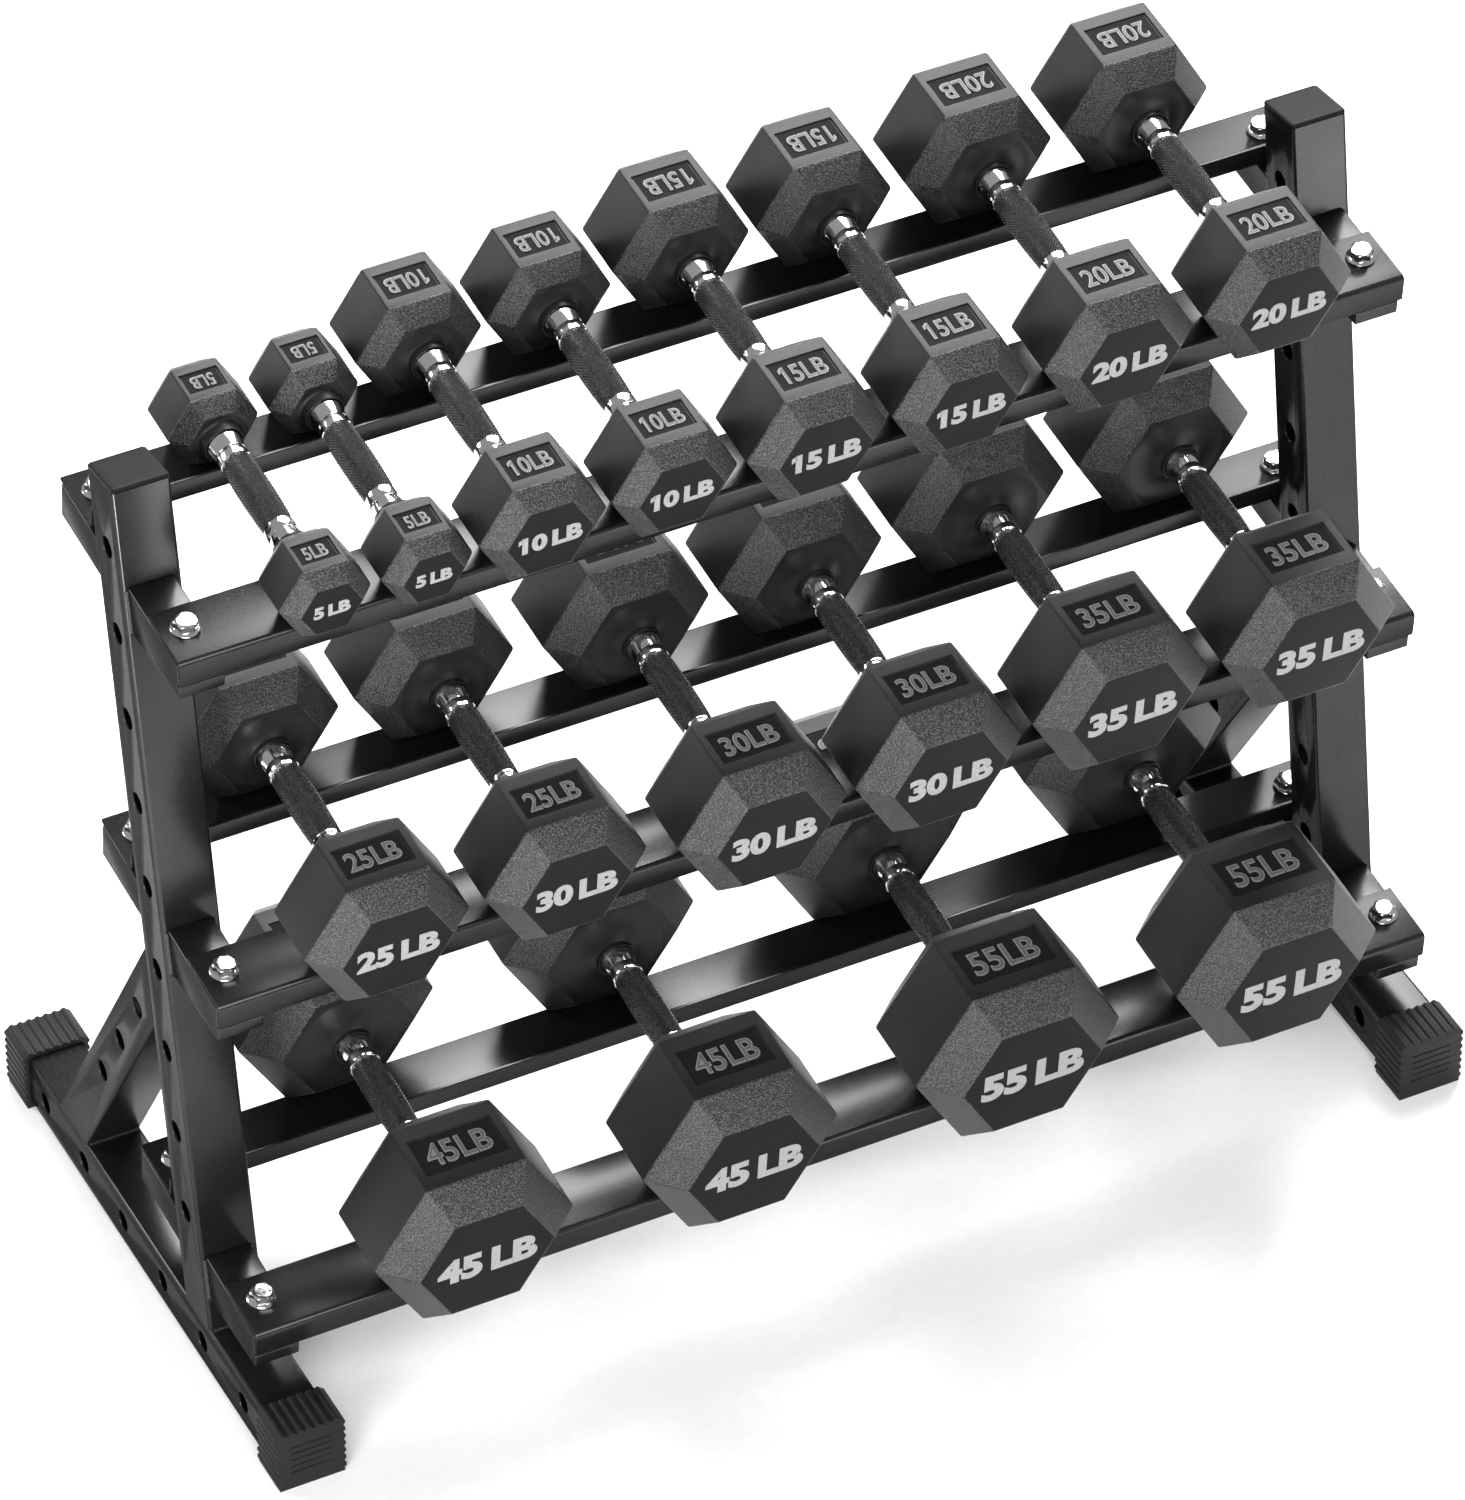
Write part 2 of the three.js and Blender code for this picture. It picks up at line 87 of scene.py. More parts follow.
BELL_LENGTH = 0.02925  # collar, neck and bell, from the knurl to the head
# Chrome end of the handle: radius, distance from the knurl.
COLLAR = (
    (0.0, 0.0), (0.0115, 0.0), (0.0121, 0.0004), (0.0122, 0.0012), (0.0121, 0.0080),
    (0.0117, 0.0088), (0.0114, 0.0094), (0.0116, 0.0102), (0.0121, 0.0125), (0.0128, 0.0160),
    (0.0134, 0.0200), (0.0137, 0.0225), (0.0137, 0.0303), (0.0, 0.0303),
)
SLEEVE_BORE = 0.0140  # rubber sleeve round the bell
SLEEVE_RADIUS = 0.0153
SLEEVE_LENGTH = 0.0085
GRIP_MIDDLE = 0.0129  # radius over the knurl
GRIP_END = 0.0118
KNURL_RELIEF = 0.0007
KNURL_GRID = (64, 46)  # points around, rows along

FONT_DEPTH = 0.1  # of the text before it is scaled

FLOOR_HALF = 24.0

TIERS = ("top", "middle", "bottom")
SIDES = ("left", "right")

X = Vector((1, 0, 0))
Y = Vector((0, 1, 0))
Z = Vector((0, 0, 1))
ACROSS = Vector((0, math.cos(TILT), math.sin(TILT)))  # across a shelf, to the rear
LIFT = Vector((0, -math.sin(TILT), math.cos(TILT)))  # square to a shelf, upwards
UPRIGHT_BACK = Vector((0, math.cos(LEAN), -math.sin(LEAN)))
UPRIGHT_UP = Vector((0, math.sin(LEAN), math.cos(LEAN)))
STRUT_BACK = Vector((0, math.cos(STRUT_SLOPE), math.sin(STRUT_SLOPE)))
STRUT_UP = Vector((0, -math.sin(STRUT_SLOPE), math.cos(STRUT_SLOPE)))


def extent(node, direction):
    """How far a CAD node reaches along a direction: lowest and highest."""
    values = [direction.dot(v.co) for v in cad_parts[node].data.vertices]
    return min(values), max(values)


def middle(node, direction):
    return sum(extent(node, direction)) / 2


# ---- Materials -----------------------------------------------------------------


def nodes_of(name):
    """A new material with its nodes, links and shader."""
    material = bpy.data.materials.new(name)
    material.use_nodes = True
    tree = material.node_tree
    return material, tree.nodes, tree.links, tree.nodes["Principled BSDF"]


def noise_node(nodes, links, scale, detail):
    """Noise in the object's own space, in metres."""
    place = nodes.new("ShaderNodeTexCoord")
    noise = nodes.new("ShaderNodeTexNoise")
    noise.inputs["Scale"].default_value = scale
    noise.inputs["Detail"].default_value = detail
    noise.inputs["Roughness"].default_value = 0.6
    links.new(place.outputs["Object"], noise.inputs["Vector"])
    return noise.outputs["Fac"]


def ramp_node(nodes, links, source, stops):
    """Grey values between two stops, each (position, value)."""
    ramp = nodes.new("ShaderNodeValToRGB")
    ramp.color_ramp.elements[0].position, value = stops[0]
    ramp.color_ramp.elements[0].color = (value, value, value, 1)
    ramp.color_ramp.elements[1].position, value = stops[1]
    ramp.color_ramp.elements[1].color = (value, value, value, 1)
    links.new(source, ramp.inputs["Fac"])
    return ramp.outputs["Color"]


def grained(name, shade, rough, grain, bump, metallic=0.0, specular=0.5, blotch=None,
            sharp=False, edge=1.0):
    """A grey material: shade and rough are (low, high) over a fine grain of the given size
    in metres, bump is (strength, depth in metres), blotch the size of a wider stain that
    darkens it, sharp a speckle with more contrast, and edge the tint at grazing angles."""
    material, nodes, links, shader = nodes_of(name)
    fine = noise_node(nodes, links, 1 / grain, detail=1.0 if sharp else 3.0)
    edges = (0.45, 0.62) if sharp else (0.38, 0.64)
    colour = ramp_node(nodes, links, fine, ((edges[0], shade[0]), (edges[1], shade[1])))
    if blotch:
        wide = noise_node(nodes, links, 1 / blotch, detail=2.0)
        stain = ramp_node(nodes, links, wide, ((0.3, 0.72), (0.7, 1.0)))
        mix = nodes.new("ShaderNodeMix")
        mix.data_type = "RGBA"
        mix.blend_type = "MULTIPLY"
        mix.inputs["Factor"].default_value = 1.0
        links.new(colour, mix.inputs["A"])
        links.new(stain, mix.inputs["B"])
        colour = mix.outputs["Result"]
    links.new(colour, shader.inputs["Base Color"])
    rougher = ramp_node(nodes, links, fine, ((0.3, rough[0]), (0.7, rough[1])))
    links.new(rougher, shader.inputs["Roughness"])
    shader.inputs["Metallic"].default_value = metallic
    shader.inputs["Specular IOR Level"].default_value = specular
    shader.inputs["Specular Tint"].default_value = (edge, edge, edge, 1)
    relief = nodes.new("ShaderNodeBump")
    relief.inputs["Strength"].default_value = bump[0]
    relief.inputs["Distance"].default_value = bump[1]
    links.new(fine, relief.inputs["Height"])
    links.new(relief.outputs["Normal"], shader.inputs["Normal"])
    return material


POWDER = grained(
    "powder_coat", shade=(0.044, 0.054), rough=(0.2, 0.27), grain=0.0018, bump=(0.08, 0.0001),
    metallic=0.85, specular=0.2, blotch=0.12, edge=0.3,
)
WELD = grained(
    "weld_coat", shade=(0.006, 0.010), rough=(0.38, 0.5), grain=0.0016, bump=(0.3, 0.0002),
    specular=0.4,
)
FLAT_RUBBER = grained(
    "head_rubber", shade=(0.002, 0.014), rough=(0.42, 0.58), grain=0.0009, bump=(0.5, 0.0002),
    specular=0.22, blotch=0.05,
)
# Chamfer rubber: real coarse grain, plus a lighter, high-contrast speckle in the base colour that paints
# the key light's glints on the grains, on every chamfer.
BEVEL_RUBBER_GLINTS = grained(
    "bevel_rubber_glints", shade=(0.001, 0.055), rough=(0.34, 0.55), grain=0.0011, bump=(1.0, 0.0008),
    specular=0.42, sharp=True,
)
FACE_RUBBER = grained(
    "face_rubber", shade=(0.003, 0.0045), rough=(0.5, 0.6), grain=0.0012, bump=(0.1, 0.0001),
    specular=0.14, blotch=0.05,
)
INNER_RUBBER = grained(
    "inner_rubber", shade=(0.006, 0.009), rough=(0.34, 0.42), grain=0.0012, bump=(0.1, 0.0001),
    specular=0.3, blotch=0.05,
)
PANEL_RUBBER = grained(
    "panel_rubber", shade=(0.007, 0.013), rough=(0.7, 0.8), grain=0.0014, bump=(0.25, 0.0001),
    specular=0.06,
)
PAINT = grained(
    "numeral_paint", shade=(0.20, 0.27), rough=(0.5, 0.65), grain=0.0014, bump=(0.15, 0.0001),
    specular=0.2,
)
RIM_PAINT = grained(
    "rim_paint", shade=(0.13, 0.19), rough=(0.5, 0.65), grain=0.0012, bump=(0.15, 0.0001),
    specular=0.3,
)
CORE_PAINT = grained(
    "core_paint", shade=(0.065, 0.095), rough=(0.5, 0.65), grain=0.0012, bump=(0.15, 0.0001),
    specular=0.2,
)
CHROME = grained(
    "chrome", shade=(0.64, 0.72), rough=(0.08, 0.12), grain=0.02, bump=(0.02, 0.0002), metallic=1.0,
)
KNURL = grained(
    "knurled_steel", shade=(0.05, 0.08), rough=(0.22, 0.3), grain=0.0022, bump=(0.1, 0.0001),
    metallic=0.85,
)
ZINC = grained(
    "zinc_plate", shade=(0.6, 0.72), rough=(0.12, 0.2), grain=0.004, bump=(0.05, 0.0001),
    metallic=1.0,
)
CAP_PLASTIC = grained(
    "cap_plastic", shade=(0.006, 0.010), rough=(0.5, 0.6), grain=0.0014, bump=(0.2, 0.0001),
    specular=0.08,
)
FOOT_RUBBER = grained(
    "foot_rubber", shade=(0.006, 0.013), rough=(0.55, 0.7), grain=0.0016, bump=(0.4, 0.0002),
    specular=0.2, blotch=0.03,
)

# ---- Mesh helpers --------------------------------------------------------------


def finish_mesh(mesh, materials, sharp=32):
    """Materials and smooth shading that keeps edges over the given angle sharp."""
    for material in materials:
        mesh.materials.append(material)
    mesh.polygons.foreach_set("use_smooth", [True] * len(mesh.polygons))
    mesh.set_sharp_from_angle(angle=math.radians(sharp))
    mesh.update()
    return mesh


def add_piece(name, mesh, body, nodes=(), matrix=None):
    """A finished piece that rides on a body and stands in for the given CAD nodes."""
    piece = bpy.data.objects.new(name, mesh)
    bpy.context.scene.collection.objects.link(piece)
    if matrix is not None:
        piece.matrix_world = matrix
    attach(piece, body)
    if nodes:
        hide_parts(*nodes)


def mesh_from(bm, name):
    bmesh.ops.recalc_face_normals(bm, faces=bm.faces)
    mesh = bpy.data.meshes.new(name)
    bm.to_mesh(mesh)
    bm.free()
    return mesh


def modified(mesh, name, cutter=None, bevel=None, segments=2):
    """The mesh with a boolean cut and then a bevel applied."""
    holder = bpy.data.objects.new(name + "_work", mesh)
    bpy.context.scene.collection.objects.link(holder)
    cutting = None
    if cutter:
        cutting = bpy.data.objects.new(name + "_cutter", cutter)
        bpy.context.scene.collection.objects.link(cutting)
        cut = holder.modifiers.new("cut", "BOOLEAN")
        cut.object = cutting
        cut.operation = "DIFFERENCE"
        cut.solver = "EXACT"
    if bevel:
        soften = holder.modifiers.new("soften", "BEVEL")
        soften.width = bevel
        soften.segments = segments
        soften.limit_method = "ANGLE"
        soften.angle_limit = math.radians(34)
    bpy.context.view_layer.update()
    graph = bpy.context.evaluated_depsgraph_get()
    result = bpy.data.meshes.new_from_object(holder.evaluated_get(graph))
    bpy.data.objects.remove(holder)
    if cutting:
        bpy.data.objects.remove(cutting)
    result.name = name
    return result


def arc(centre, radius, start, stop, steps):
    """Points on an arc, angles in quarter turns."""
    points = []
    for i in range(steps + 1):
        angle = (start + (stop - start) * i / steps) * math.pi / 2
        points.append((centre[0] + radius * math.cos(angle), centre[1] + radius * math.sin(angle)))
    return points


def rounded_square(half, radius):
    inner = half - radius
    corners = ((inner, inner), (-inner, inner), (-inner, -inner), (inner, -inner))
    points = []
    for quarter, corner in enumerate(corners):
        points += arc(corner, radius, quarter, quarter + 1, 6)
    return points


def loft(bm, rings):
    """Skins between rings of equal length, closed at both ends."""
    rows = [[bm.verts.new(p) for p in ring] for ring in rings]
    count = len(rows[0])
    for low, high in zip(rows, rows[1:]):
        for i in range(count):
            j = (i + 1) % count
            bm.faces.new((low[i], low[j], high[j], high[i]))
    bm.faces.new(list(reversed(rows[0])))
    bm.faces.new(rows[-1])


def extruded(outline, ex, ey, ez, low, high):
    """A closed prism: outline points (a, b) on ex and ey, from low to high along ez."""
    bm = bmesh.new()
    rings = [[ex * a + ey * b + ez * c for a, b in outline] for c in (low, high)]
    loft(bm, rings)
    return mesh_from(bm, "prism")


def lathe(profile, sides, axis, ex, ey, closed=False):
    """Turns (radius, along) points about an axis; ends on the axis become single points."""
    bm = bmesh.new()
    rows = []
    for radius, along in profile:
        if radius < 1e-7:
            rows.append([bm.verts.new(axis * along)])
            continue
        ring = []
        for i in range(sides):
            angle = 2 * math.pi * i / sides
            ring.append(bm.verts.new(axis * along + (ex * math.cos(angle) + ey * math.sin(angle)) * radius))
        rows.append(ring)
    pairs = list(zip(rows, rows[1:]))
    if closed:
        pairs.append((rows[-1], rows[0]))
    for low, high in pairs:
        for i in range(sides):
            j = (i + 1) % sides
            if len(low) == 1:
                bm.faces.new((low[0], high[j], high[i]))
            elif len(high) == 1:
                bm.faces.new((low[i], low[j], high[0]))
            else:
                bm.faces.new((low[i], low[j], high[j], high[i]))
    return mesh_from(bm, "turned")


def merged(parts, name):
    """One mesh of (mesh, matrix, material index) parts."""
    bm = bmesh.new()
    for mesh, matrix, index in parts:
        before = len(bm.verts)
        faces_before = len(bm.faces)
        bm.from_mesh(mesh)
        bm.verts.ensure_lookup_table()
        bm.faces.ensure_lookup_table()
        bmesh.ops.transform(bm, matrix=matrix, verts=bm.verts[before:])
        for face in bm.faces[faces_before:]:
            face.material_index = index
    result = bpy.data.meshes.new(name)
    bm.to_mesh(result)
    bm.free()
    return result


# ---- Side frames ---------------------------------------------------------------


def along_to_plane(point, axis, plane_point, normal):
    """Slides a point along an axis to a plane."""
    return point + axis * ((plane_point - point).dot(normal) / axis.dot(normal))


def tube_mesh(name, centre, ex, ey, ez, low_plane, high_plane, holes):
    """A square tube with real walls between two planes, drilled through along X."""
    bm = bmesh.new()
    ends = []
    for plane_point, normal in (low_plane, high_plane):
        loops = []
        for half, radius in ((TUBE / 2, TUBE_CORNER), (TUBE / 2 - WALL, TUBE_CORNER - WALL)):
            ring = []
            for a, b in rounded_square(half, radius):
                start = centre + ex * a + ey * b
                ring.append(bm.verts.new(along_to_plane(start, ez, plane_point, normal)))
            loops.append(ring)
        ends.append(loops)
    count = len(ends[0][0])
    for i in range(count):
        j = (i + 1) % count
        (low_out, low_in), (high_out, high_in) = ends
        bm.faces.new((low_out[i], low_out[j], high_out[j], high_out[i]))
        bm.faces.new((low_in[j], low_in[i], high_in[i], high_in[j]))
        bm.faces.new((low_out[j], low_out[i], low_in[i], low_in[j]))
        bm.faces.new((high_out[i], high_out[j], high_in[j], high_in[i]))
    drills = []
    for hole in holes:
        drill = lathe(
            [(0, -TUBE), (HOLE_RADIUS, -TUBE), (HOLE_RADIUS, TUBE), (0, TUBE)], 40, X, Y, Z
        )
        drills.append((drill, Matrix.Translation(hole), 0))
    cutter = merged(drills, name + "_holes")
    mesh = modified(mesh_from(bm, name), name, cutter=cutter, bevel=0.0005)
    return finish_mesh(mesh, [POWDER])


def upright(side):
    """Leaning upright, cut level at the foot and square at the top."""
    node = f"upright_{side}"
    foot, top = extent(node, Z)[0], extent(node, UPRIGHT_UP)[1]
    centre = X * middle(node, X) + UPRIGHT_BACK * middle(node, UPRIGHT_BACK)
    first, pitch, count = UPRIGHT_HOLES
    holes = [centre + UPRIGHT_UP * (top - first - i * pitch) for i in range(count)]
    mesh = tube_mesh(
        f"side_{node}", centre, X, UPRIGHT_BACK, UPRIGHT_UP,
        (Z * foot, Z), (UPRIGHT_UP * top, UPRIGHT_UP), holes,
    )
    add_piece(f"side_{node}", mesh, "rack", [node])


def rear_strut(side):
    """Sloping strut, cut level at the foot and to the upright's back at the top."""
    node = f"rear_strut_{side}"
    behind = extent(f"upright_{side}", UPRIGHT_BACK)[1] + GAP
    foot, top = extent(node, Z)[0], extent(node, STRUT_UP)[1]
    centre = X * middle(node, X) + STRUT_BACK * middle(node, STRUT_BACK)
    first, pitch, count = STRUT_HOLES
    holes = [centre + STRUT_UP * (top - first - i * pitch) for i in range(count)]
    mesh = tube_mesh(
        f"side_{node}", centre, X, STRUT_BACK, STRUT_UP,
        (Z * foot, Z), (UPRIGHT_BACK * behind, UPRIGHT_BACK), holes,
    )
    add_piece(f"side_{node}", mesh, "rack", [node])


def base_tube(side):
    """Tube that lies front to rear on its foot caps."""
    node = f"base_tube_{side}"
    front, rear = extent(node, Y)
    centre = X * middle(node, X) + Z * middle(node, Z)
    first, pitch, count = BASE_HOLES
    holes = [centre + Y * (rear - first - i * pitch) for i in range(count)]
    mesh = tube_mesh(f"side_{node}", centre, X, Z, Y, (Y * front, Y), (Y * rear, Y), holes)
    add_piece(f"side_{node}", mesh, "rack", [node])


def foot_cap(end, side):
    """Ribbed rubber sleeve with a closed outer end, flat underneath."""
    node = f"foot_cap_{end}_{side}"
    low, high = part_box(node)
    x, z = (low.x + high.x) / 2, TUBE / 2 + FOOT_FLOOR
    rib, pitch, count = FOOT_RIBS
    bottom, top = low.z, high.z - rib
    mid = (bottom + top) / 2 + 0.001  # the side ribs stand a little high
    offsets = [(i - (count - 1) / 2) * pitch for i in range(count)]
    waves = [(offset, along, rib * share) for offset in offsets for along, share in RIB_WAVE]
    outline = [(-FOOT_HALF, bottom), (FOOT_HALF, bottom)]
    outline += [(FOOT_HALF + out, mid + offset + along) for offset, along, out in waves]
    outline += [(-offset - along, top + out) for offset, along, out in waves]
    outline += [(-FOOT_HALF - out, mid - offset - along) for offset, along, out in waves]
    mesh = extruded(outline, X, Z, Y, low.y, high.y)
    mesh.transform(Matrix.Translation(X * x))
    inward, mouth, outer = (1, high.y, low.y) if end == "front" else (-1, low.y, high.y)
    start, stop = sorted((mouth + inward * 0.01, mouth - inward * FOOT_POCKET))
    socket = extruded(rounded_square(TUBE / 2 + GAP, TUBE_CORNER), X, Z, Y, start, stop)
    socket.transform(Matrix.Translation(X * x + Z * z))
    cuts = [(socket, Matrix(), 0)]
    first, spacing, grooves = FOOT_GROOVES
    for i in range(grooves):
        height = top - first - i * spacing
        bar = extruded(rounded_square(0.0008, 0.0003), Y, Z, X, x - 0.0165, x + 0.0165)
        cuts.append((bar, Matrix.Translation((0, outer, height)), 0))
    mesh = modified(mesh, f"shoe_{node}", cutter=merged(cuts, "cuts"), bevel=0.0005)
    add_piece(f"shoe_{node}", finish_mesh(mesh, [FOOT_RUBBER]), "rack", [node])


def top_cap(side):
    """Moulded plug: a low crowned lid on the tube, a fine seam below it, and a plug inside.
    Each step is half its width, its corner radius and its height along the upright."""
    node = f"top_cap_{side}"
    base, top = extent(node, UPRIGHT_UP)
    centre = X * middle(node, X) + UPRIGHT_BACK * middle(node, UPRIGHT_BACK)
    half = TUBE / 2
    steps = (
        (half - 0.003, TUBE_CORNER - 0.002, base),
        (half - 0.0026, TUBE_CORNER - 0.002, top - SHEET - 0.0002),
        (half - 0.0003, TUBE_CORNER, top - SHEET),
        (half, TUBE_CORNER, top - SHEET + 0.0004),
        (half, TUBE_CORNER, top - 0.0012),
        (half - 0.0005, TUBE_CORNER, top - 0.0004),
        (half - 0.0016, TUBE_CORNER - 0.001, top - 0.0001),
        (half - 0.006, TUBE_CORNER - 0.002, top),
    )
    bm = bmesh.new()
    rings = []
    for size, radius, height in steps:
        middle_point = centre + UPRIGHT_UP * height
        square = rounded_square(size, radius)
        rings.append([middle_point + X * a + UPRIGHT_BACK * b for a, b in square])
    loft(bm, rings)
    mesh = finish_mesh(mesh_from(bm, f"lid_{node}"), [CAP_PLASTIC], 40)
    add_piece(f"lid_{node}", mesh, "rack", [node])


def weld_bead(name, path):
    """A rippled bead of weld along a path of points."""
    bm = bmesh.new()
    sides, step, radius = 8, 0.0014, 0.0022
    spine = []
    for start, stop in zip(path, path[1:]):
        count = max(2, int((stop - start).length / step))
        spine += [start.lerp(stop, i / count) for i in range(count)]
    spine.append(path[-1])
    rings = []
    for i, point in enumerate(spine):
        ahead = spine[min(i + 1, len(spine) - 1)] - spine[max(i - 1, 0)]
        ahead.normalize()
        side = ahead.orthogonal().normalized()
        other = ahead.cross(side)
        size = radius * (0.9 + 0.14 * math.sin(i * 1.9) + 0.05 * math.sin(i * 0.7))
        turn = [2 * math.pi * k / sides for k in range(sides)]
        rings.append([point + (side * math.cos(t) + other * math.sin(t)) * size for t in turn])
    loft(bm, rings)
    mesh = finish_mesh(mesh_from(bm, name), [WELD], 60)
    add_piece(name, mesh, "rack")


def frame_welds(side):
    """Beads where the upright and the strut stand on the base tube and meet each other."""
    inset = TUBE / 2 - TUBE_CORNER
    x = middle(f"upright_{side}", X)
    floor = extent(f"base_tube_{side}", Z)[1]
    for part, back in (("upright", UPRIGHT_BACK), ("rear_strut", STRUT_BACK)):
        node = f"{part}_{side}"
        near, far = extent(node, back)
        for label, reach in (("front", near), ("rear", far)):
            y = (reach - back.z * floor) / back.y
            ends = [Vector((x + s * inset, y, floor + 0.0006)) for s in (-1, 1)]
            weld_bead(f"weld_{label}_{node}", ends)
    behind = extent(f"upright_{side}", UPRIGHT_BACK)[1]
    near, far = extent(f"rear_strut_{side}", STRUT_BACK)
    for label, reach in (("lower", near), ("upper", far)):
        # The line where a face of the strut meets the back of the upright.
        slope = UPRIGHT_BACK.y * STRUT_BACK.z - UPRIGHT_BACK.z * STRUT_BACK.y
        y = (behind * STRUT_BACK.z - UPRIGHT_BACK.z * reach) / slope
        z = (UPRIGHT_BACK.y * reach - STRUT_BACK.y * behind) / slope
        ends = [Vector((x + s * inset, y, z)) for s in (-1, 1)]
        weld_bead(f"weld_{label}_brace_{side}", ends)


# ---- Shelves -------------------------------------------------------------------


def rail(end, tier):
    """Folded angle: a flange to carry the heads and a lip, down in front or up behind."""
    node = f"rail_{end}_{tier}"
    front, rear = extent(node, ACROSS)
    low, high = extent(node, LIFT)
    start, stop = extent(node, X)
    inner = RAIL_BEND - SHEET
    if end == "front":
        outline = [(front, low)] + arc((front + RAIL_BEND, high - RAIL_BEND), RAIL_BEND, 2, 1, 8)
        outline += [(rear, high), (rear, high - SHEET)]
        outline += arc((front + RAIL_BEND, high - RAIL_BEND), inner, 1, 2, 4)
        outline += [(front + SHEET, low)]
    else:
        outline = [(front, high)] + arc((front + RAIL_BEND, low + RAIL_BEND), RAIL_BEND, 2, 3, 8)
        outline += [(rear, low), (rear, low + SHEET)]
        outline += arc((front + RAIL_BEND, low + RAIL_BEND), inner, 3, 2, 4)
        outline += [(front + SHEET, high)]
    mesh = modified(extruded(outline, ACROSS, LIFT, X, start, stop), f"angle_{node}", bevel=0.0005)
    add_piece(f"angle_{node}", finish_mesh(mesh, [POWDER]), "rack", [node])


def bracket(node, outline, start, stop):
    """A rail arm from its side outline, with softened edges."""
    name = f"bracket_{node}"
    prism = extruded(outline, ACROSS, LIFT, X, start, stop)
    mesh = finish_mesh(modified(prism, name, bevel=0.0012, segments=3), [POWDER], 40)
    add_piece(name, mesh, "rack", [node])


def arm_weld(node, corners):
    """A bead through corners given as (across, lift, x)."""
    weld_bead(f"weld_{node}", [ACROSS * u + LIFT * h + X * x for u, h, x in corners])


def front_arm(tier, side):
    """Hangs the front rail ahead of the upright; its heel is cut to the upright's lean."""
    node = f"arm_front_{tier}_{side}"
    front, rear = extent(node, ACROSS)
    low, high = extent(node, LIFT)
    start, stop = extent(node, X)
    notch = front + SHEET + GAP
    lip = extent(f"rail_front_{tier}", LIFT)[0] - GAP
    heel = rear - (high - low) * math.tan(LEAN + TILT)
    nose = high - ARM_FRONT_DEPTH
    outline = [(notch, high), (notch, lip), (front, lip), (front, nose), (heel, low), (rear, high)]
    bracket(node, outline, start, stop)
    below = high - SHEET
    arm_weld(node, [(rear, below, start), (heel, low, start), (heel, low, stop), (rear, below, stop)])


def rear_arm(tier, side):
    """Carries the rear rail behind the upright; its front end is cut to the upright's lean."""
    node = f"arm_rear_{tier}_{side}"
    heel, rear = extent(node, ACROSS)
    low, high = extent(node, LIFT)
    start, stop = extent(node, X)
    shoulder = heel + (high - low) * math.tan(LEAN + TILT)
    outline = [(heel, low), (rear, low), (rear, high), (shoulder, high)]
    bracket(node, outline, start, stop)
    top_left = (shoulder, high, start)
    top_right = (shoulder, high, stop)
    arm_weld(node, [top_left, (heel, low, start), (heel, low, stop), top_right, top_left])


def bolt_mesh():
    """Flange bolt head: pressed flange, six flats and a domed, chamfered top."""
    sides, flats = 48, 0.008
    outline = [
        (0, 0), (0.0108, 0), (0.011, 0.0003), (0.011, 0.0011), (0.0107, 0.0014), (0.0088, 0.0022),
        (0.0082, 0.003), (0, 0.003),
    ]
    flange = lathe(outline, sides, Z, X, Y)
    # Heights up the head, with the radius that the chamfer and dome leave at each.
    crown = [
        (0.0025, math.inf), (0.0072, math.inf), (0.0079, 0.0088), (0.0084, 0.0082),
        (0.0089, 0.0068), (0.009, 0.0035),
    ]
    bm = bmesh.new()
    rings = []
    for height, limit in crown:
        ring = []
        for i in range(sides):
            angle = 2 * math.pi * i / sides
            from_flat = (angle + math.pi / 6) % (math.pi / 3) - math.pi / 6
            radius = min(flats / math.cos(from_flat), limit)
            ring.append(Vector((radius * math.cos(angle), radius * math.sin(angle), height)))
        rings.append(ring)
    loft(bm, rings)
    head = mesh_from(bm, "hexagon")
    mesh = merged([(flange, Matrix(), 0), (head, Matrix(), 0)], "flange_bolt")
    return finish_mesh(mesh, [ZINC], 25)


def bolt(mesh, end, tier, side):
    """Seats a bolt on its rail, turned a little off square."""
    node = f"bolt_{end}_{tier}_{side}"
    seat = extent(node, LIFT)[1] - BOLT_HEAD_HEIGHT
    place = X * middle(node, X) + ACROSS * middle(node, ACROSS) + LIFT * (seat - 0.0002)
    turn = Matrix.Rotation(TILT, 4, "X") @ Matrix.Rotation(math.radians(17), 4, "Z")
    matrix = Matrix.Translation(place) @ turn
    add_piece(f"flange_{node}", mesh, "rack", [node], matrix)


# ---- Dumbbells -----------------------------------------------------------------


def glyphs(text, weight):
    """Text as a closed mesh from the built-in font, FONT_DEPTH deep, heavier by the weight."""
    curve = bpy.data.curves.new("numeral", "FONT")
    curve.body = text
    curve.extrude = FONT_DEPTH / 2
    curve.offset = weight
    curve.space_word = 0.6
    curve.resolution_u = 4
    holder = bpy.data.objects.new("numeral_work", curve)
    bpy.context.scene.collection.objects.link(holder)
    bpy.context.view_layer.update()
    graph = bpy.context.evaluated_depsgraph_get()
    mesh = bpy.data.meshes.new_from_object(holder.evaluated_get(graph))
    bpy.data.objects.remove(holder)
    return mesh


